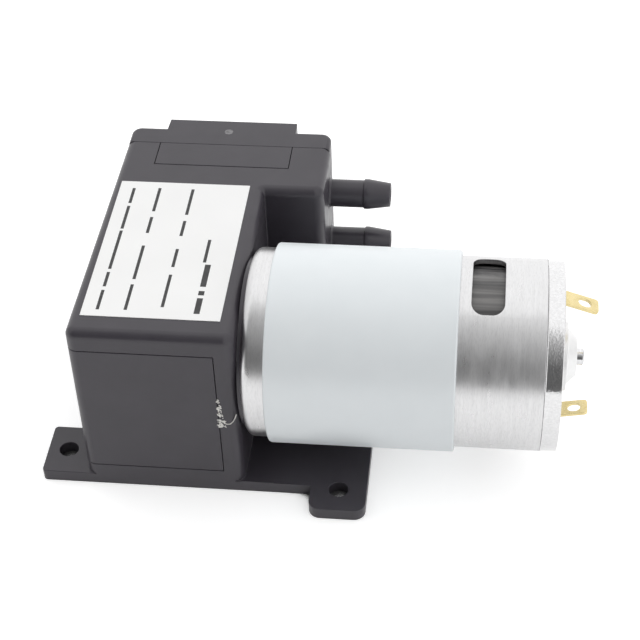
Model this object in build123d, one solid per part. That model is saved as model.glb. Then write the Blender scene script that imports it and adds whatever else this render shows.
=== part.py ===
"""Small electric diaphragm vacuum pump: a moulded pump housing with a mounting plate, a two-barb
pump head at its far end and a flanged brush motor that drives the diaphragm through an eccentric.

Frame, in millimetres: X runs along the motor shaft, from the crankcase to the motor's rear.
Y runs from the motor axis to the pump head. Z is up. x = 0 is the crankcase wall that carries the
motor, y = 0 the motor axis and z = 0 the underside of the mounting plate.
"""

import math
import os

from build123d import *

# ---------------------------------------------------------------- driving dimensions
# Mounting plate
plate_thick = 2.5
plate_reach = 23.5  # from the motor wall to the plate's edge under the motor
tab_reach = 9.7  # side tabs, beyond the crankcase's closed side
tab_length = 12.0
tab_round = 0.8
lobe_reach = 5.9  # front and rear lobes, beyond the plate's edge
lobe_width = 10.8
lobe_round = 2.2
foot_hole_r = 1.85
foot_hole_inset = 5.3  # from a lobe's free end to its hole
tab_hole_inset = 4.1  # from a tab's free end to its hole

# Housing
axis_height = 24.55
case_above = 14.65  # from the motor axis to the top of the case
case_width = 30.0
case_flare = 0.7  # the closed side stands out by this much more at its front end
case_front = 15.9  # front wall's distance from the motor axis
head_side = 11.7  # head's side wall, which carries the hose barbs
wall = 2.0
motor_wall = 3.0
corner_round = 2.0
edge_round = 1.8
inner_corner_round = 0.2
cavity_floor = 1.5  # above the mounting plate
head_floor = 2.2  # above the mounting plate

# Motor seat in the housing
pad_height = 0.8
pad_inset = 1.9  # inside the can's rim
screw_circle_r = 12.5
screw_angle = 35.0  # degrees above the horizontal

# Crankcase cover, inlaid round the front corner
cover_thick = 1.2
cover_low = 2.6  # above the mounting plate
cover_drop = 4.5  # below the top of the case
cover_side_gap = 3.8  # from the motor wall to the cover's edge
cover_back = 18.0  # how far it reaches back along the closed side
cover_ledge = 1.2
inlay_gap = 0.1

# Pump head stack
throw = 1.8  # eccentricity of the crank pin
rod_plane = 13.5  # connecting rod's distance from the motor wall
diaphragm_seat = 27.0
diaphragm_r = 11.6
diaphragm_thick = 1.6
fold_margin = 0.4
bore_r = 9.8
retainer_r = 6.8
retainer_thick = 1.6
top_clearance = 0.3  # between the retainer and the chamber at the top of the stroke
head_lead = 1.0  # from the diaphragm's seat to where the wide pump head begins
plate_lip = 1.6  # chamber plate's spigot, which clamps the diaphragm
valve_plate = 2.8  # chamber plate, beyond the chamber
fit_gap = 0.1
post_size = 4.6
seat_wall = 2.5  # behind the diaphragm's seat

# Valves
port_r = 1.6
port_offset = 5.4
flap_width = 5.5
flap_length = 7.0
flap_thick = 0.5
flap_root = 1.2  # from the head's centre to a flap's root
flap_seat_gap = 0.1
flap_room = 0.3
flap_pocket = 1.3

# Manifold, hose barbs and cap
chamber_roof = 1.65
chamber_rib = 1.2  # half of the rib between the two chambers
chamber_left = 5.0  # beyond the head's centre
chamber_wall = 9.2  # from the head's side wall to the chambers
manifold_floor = 1.5
manifold_depth = 7.3
key_shoulder_left = 6.8  # from the head's sides to the tongue let in flush in its top
key_shoulder_right = 7.7
barb_inset = 3.8  # from the manifold's near face to the barbs' axis
barb_spacing = 12.3
barb_bore_r = 1.5
barb_neck_r = 2.8
barb_r = 3.05
barb_tip_r = 2.4
barb_root_r = 3.3
barb_neck = 7.05
barb_land = 0.9
barb_length = 12.45
barb_flare = 0.4
barb_slot_gap = 0.1
gasket_thick = 0.6
cap_thick = 5.45
cap_inset = 0.2
cap_block = 2.85  # raised middle of the cap
cap_shoulder = 7.6  # from the closed side to the raised middle
cap_skin = 1.5
cap_round = 1.0
cap_screw_r = 1.25
cap_screw_head_r = 2.25
cap_screw_head = 1.9
cap_screw_length = 12.0
cap_screw_inset = 2.0  # from the pocket's corners

# Connecting rod and its ball bearing
pin_r = 2.5
bearing_r = 6.5
bearing_width = 4.0
race_pitch_r = 4.5
race_gap = 1.7
ball_r = 1.1
ball_count = 6
race_half = 0.75  # half width of the race channel
race_clearance = 0.02
cage_thick = 0.5
cage_width = 3.0
rod_eye_r = 8.6
rod_width = 5.0
rod_root = 6.0  # half width where the shank leaves the eye
rod_shank = 6.4
rod_rib = 1.2
rod_pocket = 1.3
rod_lip = 0.8
rod_flange = 2.2
rod_screw_r = 1.5
retainer_screw_length = 9.0

# Eccentric and shaft
shaft_r = 1.5875
shaft_flat = 0.4
shaft_gap = 0.01
running_gap = 0.02
shaft_hole_gap = 0.4
shaft_chamfer = 0.25
hub_r = 5.5
hub_clearance = 0.5
weight_r = 9.0
weight_thick = 3.2
pin_web = 1.2  # end of the hub between shaft and pin
set_screw_r = 1.5
set_screw_sink = 0.3
socket_r = 0.8
socket_depth = 1.2
pin_nose = 0.6  # pin's free end, beyond the bearing
pin_chamfer = 0.4

# Motor
motor_r = 17.9
motor_length = 57.6
can_wall = 1.1
can_end_wall = 1.4
can_round = 1.6
rim_length = 3.05
rim_step = 0.1
nose_r = 6.5
nose_length = 4.5
nose_wall = 1.2
ring_thick = 1.0
ring_lead = 4.3  # from the can's front
ring_to_window = 2.14
ring_seam = 0.4
window_tail = 16.66  # from the window to the can's rear edge
window_length = 5.9
window_half = 7.73
window_round = 2.2
magnet_thick = 3.2
magnet_overhang_front = 4.0  # beyond the armature stack
magnet_overhang_rear = 2.0
magnet_angle = 116.0
air_gap = 0.6
core_lead = 11.2  # from the can's front to the armature stack
coil_lead = 3.4  # from the rear coils to the commutator
core_hub_r = 4.6
pole_count = 5
pole_shoe = 2.0
pole_neck = 3.0
slot_opening = 1.8
coil_overhang = 3.6
coil_bevel = 1.6
coil_gap = 0.25
spacer_r = 2.9
commutator_r = 4.6
commutator_tail = 13.8  # from its front end to the can's rear edge
commutator_length = 7.0
commutator_slot = 0.4
commutator_lug = 1.2
brush_lead = 2.2  # from the commutator's front end
brush_length = 3.6
brush_width = 4.0
brush_height = 3.5
brush_gap = 0.05
bush_r = 4.0
bush_length = 4.0
brush_plate_tail = 5.4  # from its front face to the can's rear edge
brush_plate_thick = 2.6
brush_plate_bore_r = 6.0
shroud_gap = 0.5  # inside the can's bore
shroud_wall = 1.2
shroud_lead = 3.6  # ahead of the commutator
shroud_vent = 4.0
bell_thick = 1.2
bell_recess = 0.5
bell_foot_r = 6.5
bell_foot = 1.2  # low step round the cup, beyond the can's rim
bell_slope = 0.15
bell_cup_r = 5.2
bell_mouth_r = 3.6
bell_bevel = 0.25
bell_cup = 3.05
bell_vent_low = 8.2
bell_vent_high = 11.4
bell_vent_half = 2.6
stub_length = 1.4

# Terminals
terminal_inset = 2.55  # inside the can's bore
blade_width = 3.6
blade_thick = 0.6
blade_length = 6.1
blade_hole_r = 1.05
blade_hole_run = 0.4  # between the ends of the slotted hole
blade_hole = 3.6
blade_round = 0.7
upper_bend = 18.5
lower_bend = 11.5
blade_gap = 0.15

# Fasteners and label
motor_screw_r = 1.5
motor_screw_head_r = 2.75
motor_screw_head = 1.8
motor_screw_length = 7.0
recess_span = 2.6  # cross recess of the screws
recess_width = 0.7
head_bevel = 0.5
label_margin = 1.5  # from the closed side
label_right = 2.85  # from the motor wall
label_inset = 4.7  # from the front
label_length = 40.1
label_thick = 0.12

# ---------------------------------------------------------------- derived places
head_x = -rod_plane
case_height = axis_height + case_above
barb_high = axis_height + barb_spacing / 2
barb_low = axis_height - barb_spacing / 2
diaphragm_top = diaphragm_seat + diaphragm_thick
chamber_top = diaphragm_top + throw + retainer_thick + top_clearance
head_near = diaphragm_seat + head_lead
head_step = diaphragm_top + plate_lip  # floor of the head's pocket
manifold_near = chamber_top + valve_plate
head_far = manifold_near + manifold_depth  # parting plane between the housing and the head cap
barb_y = manifold_near + barb_inset
pin_y = -throw  # the crank pin at rest, furthest from the head
pocket_left = -case_width + wall
pocket_right = head_side - wall
pocket_top = case_height - wall
pocket_floor = plate_thick + head_floor
chamber_half = case_above - wall - chamber_roof
key_left = -case_width + key_shoulder_left
key_right = head_side - key_shoulder_right
cap_block_left = -case_width + cap_shoulder
motor_front = pad_height
motor_back = motor_front + motor_length
pad_r = motor_r - pad_inset
can_bore_r = motor_r - can_wall
window_start = motor_back - window_tail
ring_start = motor_front + ring_lead
ring_end = window_start - ring_to_window
commutator_start = motor_back - commutator_tail
brush_start = commutator_start + brush_lead
core_r = can_bore_r - magnet_thick - air_gap
core_start = motor_front + core_lead
core_end = commutator_start - coil_lead - coil_overhang
brush_plate_start = motor_back - brush_plate_tail
terminal_radius = can_bore_r - terminal_inset
nose_front = motor_front - nose_length
hub_start = nose_front - hub_clearance
plate_middle = (head_far - case_front) / 2
bell_back = motor_back - bell_recess
bell_front = bell_back - bell_thick
cup_back = motor_back + bell_cup
web_front = head_x + rod_width / 2 + fit_gap
shaft_start = web_front + pin_web + fit_gap
set_screw_x = (shaft_start + hub_start - weight_thick) / 2
front_bush_start = nose_front + nose_wall
cap_far = head_far + cap_thick


# ---------------------------------------------------------------- small helpers
def block(x0, x1, y0, y1, z0, z1):
    """A box between two corners."""
    centre = Pos((x0 + x1) / 2, (y0 + y1) / 2, (z0 + z1) / 2)
    return centre * Box(x1 - x0, y1 - y0, z1 - z0)


def rod_x(r, x0, x1, y=0.0, z=axis_height):
    """A cylinder along X."""
    return Pos((x0 + x1) / 2, y, z) * Rot(0, 90, 0) * Cylinder(r, x1 - x0)


def rod_y(r, y0, y1, x, z):
    """A cylinder along Y."""
    return Pos(x, (y0 + y1) / 2, z) * Rot(90, 0, 0) * Cylinder(r, y1 - y0)


def rod_z(r, z0, z1, x, y):
    """A cylinder along Z."""
    return Pos(x, y, (z0 + z1) / 2) * Cylinder(r, z1 - z0)


def spun_x(points, y=0.0, z=axis_height):
    """A solid of revolution about an axis along X, from (x, radius) corners."""
    outline = make_face(Polyline(*[(x, r) for x, r in points], close=True))
    return Pos(0, y, z) * revolve(outline, Axis.X)


def spun_y(outline, x, z):
    """A solid of revolution about an axis along Y, from a face drawn in XY beside that axis."""
    return Pos(x, 0, z) * revolve(outline, Axis.Y)


def on_axis(shape, angle):
    """The shape turned about the motor axis."""
    return Pos(0, 0, axis_height) * Rot(angle, 0, 0) * Pos(0, 0, -axis_height) * shape


def solids_of(*shapes):
    """Separate solids kept together in one node."""
    return Compound(children=[s for shape in shapes for s in shape.solids()])


# ---------------------------------------------------------------- housing
def plate_outline():
    """The mounting plate: two side tabs and two lobes, mirrored about its middle."""
    depth = head_far + case_front
    length = plate_reach + case_width
    sheet = Pos(plate_reach - length / 2, plate_middle) * Rectangle(length, depth)
    sheet += case_outline()
    for side in (-1, 1):
        tab_y = plate_middle + side * (depth - tab_length) / 2
        tab_x = -case_width - tab_reach / 2
        tab = RectangleRounded(tab_reach + 2 * corner_round, tab_length, tab_round)
        sheet += Pos(tab_x + corner_round, tab_y) * tab
        sheet -= Pos(-case_width - tab_reach + tab_hole_inset, tab_y) * Circle(foot_hole_r)
        lobe_x = plate_reach - lobe_width / 2
        lobe_end = plate_middle + side * (depth / 2 + lobe_reach)
        lobe = RectangleRounded(lobe_width, 2 * lobe_reach, lobe_round)
        root = Rectangle(lobe_width, lobe_reach)
        sheet += Pos(lobe_x, lobe_end - side * lobe_reach) * lobe
        sheet += Pos(lobe_x, lobe_end - side * 1.5 * lobe_reach) * root
        sheet -= Pos(lobe_x, lobe_end - side * foot_hole_inset) * Circle(foot_hole_r)
    return sheet


def case_outline():
    """The L-shaped plan of crankcase and head."""
    corners = [
        (-case_width - case_flare, -case_front),
        (0, -case_front),
        (0, head_near),
        (head_side, head_near),
        (head_side, head_far),
        (-case_width, head_far),
    ]
    outline = make_face(Polyline(*corners, close=True))
    outer = [v for v in outline.vertices() if v.Y < head_far - 1 and not (v.X == 0 and v.Y > 0)]
    outline = fillet(outer, corner_round)
    inner = outline.vertices().sort_by_distance((0, head_near, 0))[0]
    return fillet(inner, inner_corner_round)


def case_body():
    """The outside of the housing above the plate, with its top edges rounded."""
    body = extrude(case_outline(), case_height)
    top = body.faces().sort_by(Axis.Z)[-1]
    rounded = [e for e in top.edges() if e.center().Y < head_far - fit_gap]
    return fillet(rounded, edge_round)


def head_section(clearance, y0, y1):
    """The pocket's section, a rectangle with four screw posts left standing in its corners."""
    x0, x1 = pocket_left + clearance, pocket_right - clearance
    z0, z1 = pocket_floor + clearance, pocket_top - clearance
    section = block(x0, x1, y0, y1, z0, z1)
    for x in (x0, x1):
        for z in (z0, z1):
            side = 2 * post_size
            section -= block(x - side / 2, x + side / 2, y0, y1, z - side / 2, z + side / 2)
    return section


def cap_screw_places():
    """Centres of the four cap screws, as (x, z)."""
    xs = (pocket_left + cap_screw_inset, pocket_right - cap_screw_inset)
    zs = (pocket_floor + cap_screw_inset, pocket_top - cap_screw_inset)
    return [(x, z) for x in xs for z in zs]


def motor_screw_places():
    """Centres of the two motor screws, as (y, z)."""
    a = math.radians(screw_angle)
    y, z = screw_circle_r * math.cos(a), screw_circle_r * math.sin(a)
    return [(y, axis_height + z), (-y, axis_height - z)]


def barb_slot(r, x0, x1, reach):
    """The part of the side wall that one hose barb's root takes, open towards the cap."""
    slots = []
    for z in (barb_low, barb_high):
        slots.append(rod_x(r, x0, x1, barb_y, z) + block(x0, x1, barb_y, reach, z - r, z + r))
    return slots


def cover_slabs(inset, depth):
    """The two slabs that the cover takes from the housing's front and closed side."""
    z0, z1 = plate_thick + cover_low + inset, case_height - cover_drop - inset
    right, back = -cover_side_gap - inset, cover_back - inset
    left = -case_width - case_flare
    front = block(left, right, -case_front, -case_front + depth, z0, z1)
    side = block(left, -case_width + depth, -case_front, back, z0, z1)
    return front + side


def main_housing():
    body = extrude(plate_outline(), plate_thick) + case_body()
    body += rod_x(pad_r, 0, pad_height)
    cavity_left, cavity_front = -case_width + wall, -case_front + wall
    cavity_back = diaphragm_seat - seat_wall
    floor = plate_thick + cavity_floor
    body -= block(cavity_left, -motor_wall, cavity_front, cavity_back, floor, pocket_top)
    body -= cover_slabs(0, cover_thick)
    body -= cover_slabs(cover_ledge, wall)
    body -= rod_x(nose_r + fit_gap, -motor_wall, pad_height)
    for y, z in motor_screw_places():
        body -= rod_x(motor_screw_r + fit_gap, -motor_wall, pad_height, y, z)
    body -= rod_y(bore_r, cavity_back, diaphragm_seat, head_x, axis_height)
    body -= rod_y(diaphragm_r + fit_gap, diaphragm_seat, head_step, head_x, axis_height)
    body -= head_section(0, head_step, head_far)
    low = pocket_top - fit_gap
    body -= block(key_left, key_right, manifold_near, head_far, low, case_height)
    slot_start = pocket_right - 2 * fit_gap
    for slot in barb_slot(barb_root_r + barb_slot_gap, slot_start, head_side, head_far):
        body -= slot
    for x, z in cap_screw_places():
        body -= rod_y(cap_screw_r, head_far - cap_screw_length + cap_thick, head_far, x, z)
    return body


def crankcase_cover():
    skin = extrude(case_outline(), case_height)
    return skin & cover_slabs(inlay_gap, cover_thick)


# ---------------------------------------------------------------- pump head
def flap_shape(grow, y0, y1, up):
    """A flap or its pocket: straight sides, a round free end, pointing up or down from its root."""
    half = flap_width / 2 + grow
    root, tip = flap_root - grow, flap_root + flap_length + grow
    middle = tip - half
    z0, z1 = sorted((axis_height + up * root, axis_height + up * middle))
    straight = block(head_x - half, head_x + half, y0, y1, z0, z1)
    return straight + rod_y(half, y0, y1, head_x, axis_height + up * middle)


def chamber_plate():
    plate = head_section(fit_gap, head_step, manifold_near)
    plate += rod_y(diaphragm_r, diaphragm_top, head_step, head_x, axis_height)
    plate -= rod_y(bore_r, diaphragm_top, chamber_top, head_x, axis_height)
    plate -= flap_shape(flap_room, chamber_top, chamber_top + flap_pocket, 1)
    plate -= flap_shape(flap_room, manifold_near - flap_pocket, manifold_near, -1)
    for up in (1, -1):
        z = axis_height + up * port_offset
        plate -= rod_y(port_r, chamber_top, manifold_near, head_x, z)
    return plate


def inlet_flap():
    seat = chamber_top + flap_pocket - flap_seat_gap
    return flap_shape(0, seat - flap_thick, seat, 1)


def outlet_flap():
    seat = manifold_near - flap_pocket + flap_seat_gap
    return flap_shape(0, seat, seat + flap_thick, -1)


def chambers(y0, y1):
    """The inlet and outlet chambers, one above the other."""
    x0, x1 = head_x - chamber_left, head_side - chamber_wall
    low = block(x0, x1, y0, y1, axis_height - chamber_half, axis_height - chamber_rib)
    high = block(x0, x1, y0, y1, axis_height + chamber_rib, axis_height + chamber_half)
    return low + high


def hose_barb(z):
    """A single-step barb standing on the head's side wall, before its bore is drilled."""
    root, tip = head_side, head_side + barb_length
    step = root + barb_neck
    return spun_x(
        [
            (root - wall, 0),
            (root - wall, barb_neck_r + barb_flare),
            (root, barb_neck_r + barb_flare),
            (root + barb_flare, barb_neck_r),
            (step, barb_neck_r),
            (step, barb_r),
            (step + barb_land, barb_r),
            (tip, barb_tip_r),
            (tip, 0),
        ],
        barb_y,
        z,
    )


def manifold_block():
    body = head_section(fit_gap, manifold_near, head_far)
    body += block(
        key_left + inlay_gap,
        key_right - inlay_gap,
        manifold_near + inlay_gap,
        head_far,
        pocket_top - fit_gap,
        case_height,
    )
    for root in barb_slot(barb_root_r, pocket_right - fit_gap, head_side, head_far):
        body += root
    for z in (barb_low, barb_high):
        body += hose_barb(z)
    body -= chambers(manifold_near + manifold_floor, head_far)
    for z in (barb_low, barb_high):
        inner = head_side - chamber_wall
        body -= rod_x(barb_bore_r, inner - 1, head_side + barb_length, barb_y, z)
    body -= rod_y(
        port_r, manifold_near, manifold_near + manifold_floor, head_x, axis_height + port_offset
    )
    body -= flap_shape(flap_room, manifold_near, manifold_near + manifold_floor, -1)
    return body


def cap_gasket():
    sheet = head_section(2 * fit_gap, head_far, head_far + gasket_thick)
    return sheet - chambers(head_far, head_far + gasket_thick)


def head_cap():
    x0, x1 = -case_width + cap_inset, head_side - cap_inset
    z0, z1 = plate_thick, case_height
    body = block(x0, x1, head_far, cap_far, z0, z1)
    upright = body.edges().filter_by(Axis.Z).group_by(Axis.Y)[-1]
    body = fillet(upright, corner_round)
    rim = body.faces().sort_by(Axis.Z)[-1].edges()
    body = fillet([e for e in rim if e.center().Y > head_far + fit_gap], cap_round)
    body += block(
        cap_block_left,
        key_right,
        cap_far - cap_round - edge_round,
        cap_far + cap_block,
        axis_height - case_above,
        case_height,
    )
    body -= head_section(fit_gap, head_far, head_far + gasket_thick)
    body -= chambers(head_far + gasket_thick, cap_far + cap_block - cap_skin)
    for x, z in cap_screw_places():
        body -= rod_y(cap_screw_r + fit_gap, head_far, cap_far, x, z)
    return body


def cap_screws():
    screws = []
    for x, z in cap_screw_places():
        shank = rod_y(cap_screw_r - shaft_gap, cap_far - cap_screw_length, cap_far, x, z)
        head = rod_y(cap_screw_head_r, cap_far, cap_far + cap_screw_head, x, z)
        head = chamfer(head.edges().sort_by(Axis.Y)[-1], head_bevel)
        for turn in (0, 90):
            cut = Box(recess_span, cap_screw_head, recess_width)
            head -= Pos(x, cap_far + cap_screw_head, z) * Rot(0, turn, 0) * cut
        screws.append(shank + head)
    return solids_of(*screws)


# ---------------------------------------------------------------- diaphragm and rod
def diaphragm():
    """The rubber disc with its middle drawn back by the throw, on a conical fold."""
    low, high = diaphragm_seat - throw, diaphragm_top - throw
    start, end = retainer_r + fold_margin, bore_r - fold_margin
    section = Polyline(
        (rod_screw_r, low),
        (start, low),
        (end, diaphragm_seat),
        (diaphragm_r, diaphragm_seat),
        (diaphragm_r, diaphragm_top),
        (end, diaphragm_top),
        (start, high),
        (rod_screw_r, high),
        close=True,
    )
    return spun_y(make_face(section), head_x, axis_height)


def screw_cone(grow):
    """The retainer screw's countersunk head, or its seat when grown."""
    top = diaphragm_top - throw + retainer_thick
    head = retainer_thick - 0.2
    cone = make_face(
        Polyline(
            (0, top - head - grow),
            (rod_screw_r + grow, top - head - grow),
            (rod_screw_r + head + grow, top),
            (0, top),
            close=True,
        )
    )
    return spun_y(cone, head_x, axis_height)


def diaphragm_retainer():
    low = diaphragm_top - throw
    disc = rod_y(retainer_r, low, low + retainer_thick, head_x, axis_height)
    disc = chamfer(disc.edges().sort_by(Axis.Y)[-1], head_bevel)
    disc -= rod_y(rod_screw_r + shaft_gap, low, low + retainer_thick, head_x, axis_height)
    return disc - screw_cone(shaft_gap)


def retainer_screw():
    top = diaphragm_top - throw + retainer_thick
    shank = rod_y(
        rod_screw_r - shaft_gap, top - retainer_screw_length, top, head_x, axis_height
    )
    screw = shank + screw_cone(0)
    for turn in (0, 90):
        cut = Box(recess_span, retainer_thick, recess_width)
        screw -= Pos(head_x, top, axis_height) * Rot(0, turn, 0) * cut
    return screw


def connecting_rod():
    flange_top = diaphragm_seat - throw
    x0, x1 = head_x - rod_width / 2, head_x + rod_width / 2
    eye = rod_x(rod_eye_r, x0, x1, pin_y)
    flange = rod_y(retainer_r, flange_top - rod_flange, flange_top, head_x, axis_height)
    wide, narrow = 2 * rod_root, rod_shank
    shank = make_face(
        Polyline(
            (pin_y, axis_height - wide / 2),
            (flange_top - rod_flange, axis_height - narrow / 2),
            (flange_top - rod_flange, axis_height + narrow / 2),
            (pin_y, axis_height + wide / 2),
            close=True,
        )
    )
    shank = Pos(x0, 0, 0) * extrude(Plane.YZ * shank, rod_width)
    rod = eye + shank + flange
    pocket_start = pin_y + rod_eye_r + rod_rib
    pocket_end = flange_top - retainer_screw_length
    middle, length = (pocket_start + pocket_end) / 2, pocket_end - pocket_start
    for x in (x0, x1):
        face = Plane(origin=(x, middle, axis_height), x_dir=(0, 1, 0), z_dir=(1, 0, 0))
        rod -= extrude(face * SlotOverall(length, rod_shank - 2 * rod_rib), rod_pocket, both=True)
    rod -= rod_x(bearing_r, x0 + (rod_width - bearing_width), x1, pin_y)
    rod -= rod_x(bearing_r - rod_lip, x0, x1, pin_y)
    screw_end = flange_top - retainer_screw_length + diaphragm_thick + retainer_thick
    return rod - rod_y(rod_screw_r, screw_end, flange_top, head_x, axis_height)


def bearing_ring(r_in, r_out, race_r):
    """One ring of the ball bearing, with a shallow race channel cut to the balls' radius."""
    x1 = head_x + rod_width / 2
    x0 = x1 - bearing_width
    middle = (x0 + x1) / 2
    ring = rod_x(r_out, x0, x1, pin_y) - rod_x(r_in, x0, x1, pin_y)
    channel = rod_x(max(race_r, race_pitch_r), middle - race_half, middle + race_half, pin_y)
    channel -= rod_x(min(race_r, race_pitch_r), middle - race_half, middle + race_half, pin_y)
    return ring - channel


def rod_bearing_inner():
    race = race_pitch_r - ball_r - race_clearance
    return bearing_ring(pin_r + shaft_gap, race_pitch_r - race_gap / 2, race)


def rod_bearing_outer():
    race = race_pitch_r + ball_r + race_clearance
    return bearing_ring(race_pitch_r + race_gap / 2, bearing_r, race)


def ball_places():
    """Each ball's centre, evenly round the crank pin."""
    x = head_x + (rod_width - bearing_width) / 2
    for i in range(ball_count):
        a = 2 * math.pi * i / ball_count
        y = pin_y + race_pitch_r * math.cos(a)
        yield x, y, axis_height + race_pitch_r * math.sin(a)


def rod_bearing_balls():
    return solids_of(*[Pos(*place) * Sphere(ball_r) for place in ball_places()])


def rod_bearing_cage():
    """A crown cage with one open pocket for each ball."""
    x = head_x + (rod_width - bearing_width) / 2
    x0, x1 = x - cage_width / 2, x + cage_width / 2
    cage = rod_x(race_pitch_r + cage_thick / 2, x0, x1, pin_y)
    cage -= rod_x(race_pitch_r - cage_thick / 2, x0, x1, pin_y)
    half = ball_r + race_clearance
    pocket = Pos(x, 0, race_pitch_r) * Box(2 * half, 2 * half, 2 * half)
    pocket += Pos((x + x1) / 2, 0, race_pitch_r) * Box(x1 - x, 2 * half, 2 * half)
    for i in range(ball_count):
        turn = Rot(360 / ball_count * i - 90, 0, 0)
        cage -= Pos(0, pin_y, axis_height) * turn * pocket
    return cage


# ---------------------------------------------------------------- rotor
def eccentric():
    """Hub, counterweight and crank pin in one turned and milled piece."""
    hub = rod_x(hub_r, web_front, hub_start)
    weight = rod_x(weight_r, hub_start - weight_thick, hub_start)
    weight -= block(
        hub_start - 2 * weight_thick, 1, -2 * weight_r, -pin_y, axis_height - 2 * weight_r,
        axis_height + 2 * weight_r,
    )
    pin = rod_x(pin_r, web_front - fit_gap - bearing_width - pin_nose, web_front, pin_y)
    pin = chamfer(pin.edges().sort_by(Axis.X)[0], pin_chamfer)
    body = hub + weight + pin
    body -= rod_x(shaft_r + shaft_gap, web_front + pin_web, hub_start)
    return body - rod_z(set_screw_r, axis_height, axis_height + hub_r, set_screw_x, 0)


def eccentric_set_screw():
    low = axis_height + shaft_r - shaft_flat + shaft_gap
    top = axis_height + hub_r - set_screw_sink
    screw = rod_z(set_screw_r - shaft_gap, low, top, set_screw_x, 0)
    socket = Pos(set_screw_x, 0, top) * RegularPolygon(socket_r, 6)
    return screw - extrude(socket, -socket_depth)


def motor_shaft():
    x0, x1 = shaft_start, cup_back + stub_length
    shaft = rod_x(shaft_r, x0, x1)
    shaft = chamfer(shaft.edges().filter_by(GeomType.CIRCLE), shaft_chamfer)
    low, high = axis_height + shaft_r - shaft_flat, axis_height + shaft_r
    return shaft - block(x0, hub_start, -shaft_r, shaft_r, low, high)


def pole_necks(half, top, x0, x1):
    """The radial webs between the armature's slots, from the axis out to a radius."""
    neck = block(x0, x1, -half, half, axis_height, axis_height + top)
    return [on_axis(neck, 360 / pole_count * i) for i in range(pole_count)]


def slot_mouths(half, x0, x1):
    """Thin radial cuts midway between the poles."""
    cut = block(x0, x1, -half, half, axis_height, axis_height + core_r)
    return [on_axis(cut, 360 / pole_count * (i + 0.5)) for i in range(pole_count)]


def armature_core():
    """The laminated stack: a hub, narrow necks and wide pole shoes."""
    x0, x1 = core_start, core_end
    core = rod_x(core_r, x0, x1) - rod_x(core_r - pole_shoe, x0, x1)
    for mouth in slot_mouths(slot_opening / 2, x0, x1):
        core -= mouth
    core += rod_x(core_hub_r, x0, x1)
    for neck in pole_necks(pole_neck / 2, core_r - pole_shoe / 2, x0, x1):
        core += neck
    return core - rod_x(shaft_r + shaft_gap, x0, x1)


def armature_windings():
    """One coil round each pole's neck, bevelled where it stands out beyond the stack."""
    x0, x1 = core_start, core_end
    ends = (x0 - coil_overhang, x1 + coil_overhang)
    coils = rod_x(core_r - pole_shoe - coil_gap, *ends)
    coils = chamfer(coils.edges().filter_by(GeomType.CIRCLE), coil_bevel)
    coils -= rod_x(core_hub_r + coil_gap, *ends)
    for neck in pole_necks(pole_neck / 2 + coil_gap, core_r, x0 - coil_gap, x1 + coil_gap):
        coils -= neck
    for mouth in slot_mouths(coil_gap, *ends):
        coils -= mouth
    return coils


def commutator():
    x0, x1 = commutator_start, commutator_start + commutator_length
    body = rod_x(commutator_r, x0, x1)
    lug_r = commutator_r + commutator_lug
    body += rod_x(lug_r, x0, x0 + commutator_lug)
    for i in range(pole_count):
        cut = block(
            x0,
            x1,
            -commutator_slot / 2,
            commutator_slot / 2,
            axis_height + commutator_r - commutator_slot * 1.5,
            axis_height + lug_r + 1,
        )
        body -= on_axis(cut, 360 / pole_count * (i + 0.5))
    return body - rod_x(shaft_r + shaft_gap, x0, x1)


def shaft_spacers():
    """Insulating sleeves and thrust washers that place the armature between the bushes."""
    front = (front_bush_start + bush_length + fit_gap, core_start - fit_gap)
    middle = (core_end + fit_gap, commutator_start - fit_gap)
    rear = (commutator_start + commutator_length + fit_gap, bell_front - 2 * fit_gap)
    tubes = []
    for x0, x1 in (front, middle, rear):
        tubes.append(rod_x(spacer_r, x0, x1) - rod_x(shaft_r + shaft_gap, x0, x1))
    return solids_of(*tubes)


# ---------------------------------------------------------------- motor
def motor_can():
    """The deep-drawn can: front nose for the bush, rounded shoulder, turned-down rear rim."""
    front, back = motor_front, motor_back
    outside = spun_x(
        [
            (nose_front, 0),
            (nose_front, nose_r),
            (front, nose_r),
            (front, motor_r),
            (back - rim_length, motor_r),
            (back - rim_length, motor_r - rim_step),
            (back, motor_r - rim_step),
            (back, 0),
        ]
    )
    shoulder = [
        e
        for e in outside.edges().filter_by(GeomType.CIRCLE)
        if abs(e.radius - motor_r) < 1e-3 and abs(e.center().X - front) < 1e-3
    ]
    body = fillet(shoulder, can_round)
    body -= rod_x(can_bore_r, front + can_end_wall, back)
    body -= rod_x(bush_r, front_bush_start, front + can_end_wall)
    body -= rod_x(shaft_r + shaft_hole_gap, nose_front, front)
    for y, z in motor_screw_places():
        body -= rod_x(motor_screw_r, front, front + can_end_wall, y, z)
    window = Pos(window_start + window_length / 2, 0) * RectangleRounded(
        window_length, 2 * window_half, window_round
    )
    return body - extrude(window, axis_height + motor_r + 1)


def flux_ring():
    """A rolled steel sleeve with its butt seam underneath."""
    x0, x1 = ring_start, ring_end
    ring = rod_x(motor_r + ring_thick, x0, x1) - rod_x(motor_r, x0, x1)
    seam = block(x0, x1, -ring_seam / 2, ring_seam / 2, 0, axis_height)
    return ring - seam


def magnet(side):
    """One arc magnet, on the side of the axis given by its sign."""
    x0, x1 = core_start - magnet_overhang_front, core_end + magnet_overhang_rear
    arc = rod_x(can_bore_r, x0, x1) - rod_x(can_bore_r - magnet_thick, x0, x1)
    half = math.radians(magnet_angle / 2)
    reach = 2 * motor_r
    wedge = make_face(
        Polyline(
            (0, axis_height),
            (side * reach, axis_height - reach * math.tan(half)),
            (side * reach, axis_height + reach * math.tan(half)),
            close=True,
        )
    )
    return arc & (Pos(x0, 0, 0) * extrude(Plane.YZ * wedge, x1 - x0))


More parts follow.
